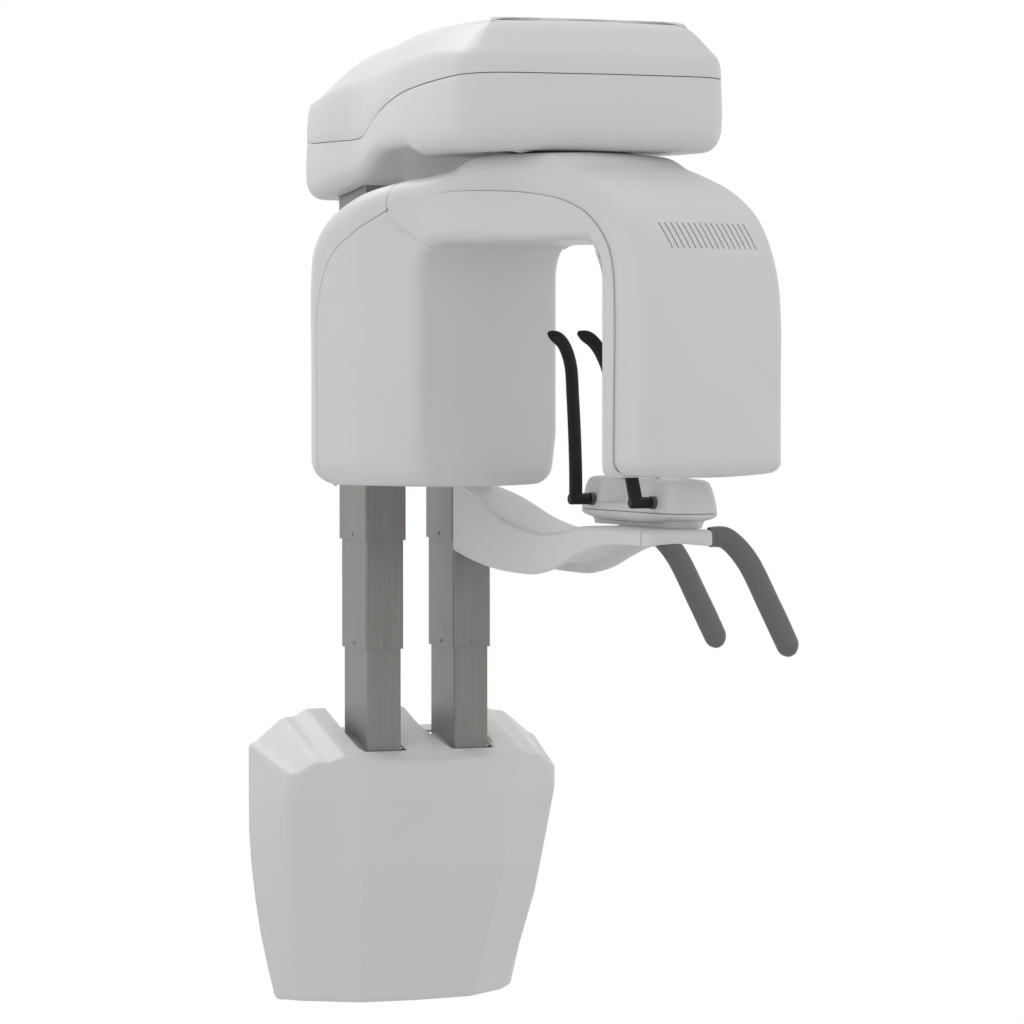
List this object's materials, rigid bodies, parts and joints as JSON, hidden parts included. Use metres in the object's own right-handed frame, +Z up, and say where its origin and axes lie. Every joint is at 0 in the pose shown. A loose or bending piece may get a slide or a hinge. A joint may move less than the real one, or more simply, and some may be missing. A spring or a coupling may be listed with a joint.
{
  "type": "panoramic x-ray machine",
  "caption": "Wall-hung dental panoramic X-ray unit: telescopic twin columns, overhead housing, rotating C-arm, patient platform, temple rods and handles.",
  "frame": {"origin": "centre of the four wall bolts, at the back face of the wall plate", "axes": "+Y into the wall, +Z up, +X to the right seen from the room"},
  "size_m": [0.5197, 0.89, 1.332],
  "materials": {
    "white_cover": "satin moulded",
    "column_metal": "brushed, anodised",
    "steel": "plain",
    "painted_steel": "powder coated",
    "cast_aluminium": "as cast",
    "black_plastic": "fine texture",
    "grey_ring": "satin",
    "handle_grip": "soft touch",
    "board": "solder mask",
    "belt": "ribbed",
    "stop_red": "gloss",
    "stop_yellow": "satin",
    "key_grey": "satin",
    "seal": "matt"
  },
  "bodies": {
    "base": {"wall_plate": "painted_steel", "column_frame": "painted_steel", "inner_tubes": "column_metal", "lift_actuators": "cast_aluminium", "base_cover": "white_cover", "column_seals": "seal", "power_supply": "painted_steel", "lift_board": "board", "mains_inlet": "black_plastic", "stop_housing": "stop_yellow", "base_screws": "steel"},
    "power_rocker": {"power_rocker": "black_plastic"},
    "stop_button": {"stop_button": "stop_red"},
    "middle_stage": {"middle_tubes": "column_metal"},
    "lift_head": {"outer_tubes": "column_metal", "push_rods": "steel", "column_yoke": "painted_steel", "head_beam": "cast_aluminium", "rail_plate": "painted_steel", "guide_rails": "steel", "upper_cover": "white_cover", "lower_cover": "white_cover", "cover_brackets": "painted_steel", "control_board": "board", "travel_actuator": "painted_steel", "arm_beam": "painted_steel", "arm_shell": "white_cover", "arm_end_cap": "white_cover", "platform_tray": "white_cover", "platform_body": "white_cover", "handle_rear": "handle_grip", "handle_front": "handle_grip", "handle_bracket": "handle_grip", "temple_pivots": "grey_ring", "head_screws": "steel"},
    "axis_carriage": {"carriage_plate": "cast_aluminium", "rail_blocks": "steel", "bearing_outer_ring": "steel", "rotation_motor": "painted_steel", "drive_belt": "belt", "actuator_rod": "steel"},
    "motor_pulley": {"motor_pulley": "cast_aluminium"},
    "c_arm": {"hub_shaft": "steel", "bearing_inner_ring": "steel", "arm_pulley": "cast_aluminium", "arm_frame": "cast_aluminium", "tube_head": "painted_steel", "collimator": "steel", "sensor_panel": "black_plastic", "sensor_bracket": "painted_steel", "generator_board": "board", "rear_shell": "white_cover", "tube_front_cover": "white_cover", "main_cover": "white_cover", "inner_cover": "white_cover", "arm_screws": "steel"},
    "temple_rod_rear": {"temple_rod_rear": "black_plastic"},
    "temple_rod_front": {"temple_rod_front": "black_plastic"},
    "key_up": {"key_up": "key_grey"},
    "key_down": {"key_down": "key_grey"}
  },
  "joints": [
    {"name": "lift", "type": "slide", "parent": "base", "child": "lift_head", "axis": [0, 0, 1], "range_m": [-0.24, 0.4]},
    {"name": "middle_lift", "type": "slide", "parent": "base", "child": "middle_stage", "axis": [0, 0, 1], "range_m": [-0.12, 0.2]},
    {"name": "axis_travel", "type": "slide", "parent": "lift_head", "child": "axis_carriage", "axis": [1, 0, 0], "range_m": [-0.02, 0.02]},
    {"name": "arm_rotation", "type": "hinge", "parent": "axis_carriage", "child": "c_arm", "pos_m": [0, -0.597, 0.95], "axis": [0, 0, 1], "range_deg": [-20, 168]},
    {"name": "motor_spin", "type": "hinge", "parent": "axis_carriage", "child": "motor_pulley", "pos_m": [0.11, -0.597, 0.98], "axis": [0, 0, 1], "range_deg": [-114, 942]},
    {"name": "temple_rear_tilt", "type": "hinge", "parent": "lift_head", "child": "temple_rod_rear", "pos_m": [0.054, -0.505, 0.5175], "axis": [1, 0, 0], "range_deg": [-27, 3]},
    {"name": "temple_front_tilt", "type": "hinge", "parent": "lift_head", "child": "temple_rod_front", "pos_m": [0.054, -0.689, 0.5175], "axis": [1, 0, 0], "range_deg": [-3, 27]},
    {"name": "key_up_press", "type": "slide", "parent": "lift_head", "child": "key_up", "axis": [-1, 0, 0], "range_m": [0, 0.0015], "stiffness_N_per_m": 400},
    {"name": "key_down_press", "type": "slide", "parent": "lift_head", "child": "key_down", "axis": [-1, 0, 0], "range_m": [0, 0.0015], "stiffness_N_per_m": 400},
    {"name": "stop_press", "type": "slide", "parent": "base", "child": "stop_button", "axis": [-1, 0, 0], "range_m": [0, 0.004], "stiffness_N_per_m": 600},
    {"name": "power_rock", "type": "hinge", "parent": "base", "child": "power_rocker", "pos_m": [0, -0.067, -0.188], "axis": [1, 0, 0], "range_deg": [-6, 6]}
  ],
  "couplings": [
    {"joint": "middle_lift", "follows": "lift", "ratio": 0.5},
    {"joint": "motor_spin", "follows": "arm_rotation", "ratio": 5.6},
    {"joint": "temple_front_tilt", "follows": "temple_rear_tilt", "ratio": -1}
  ]
}
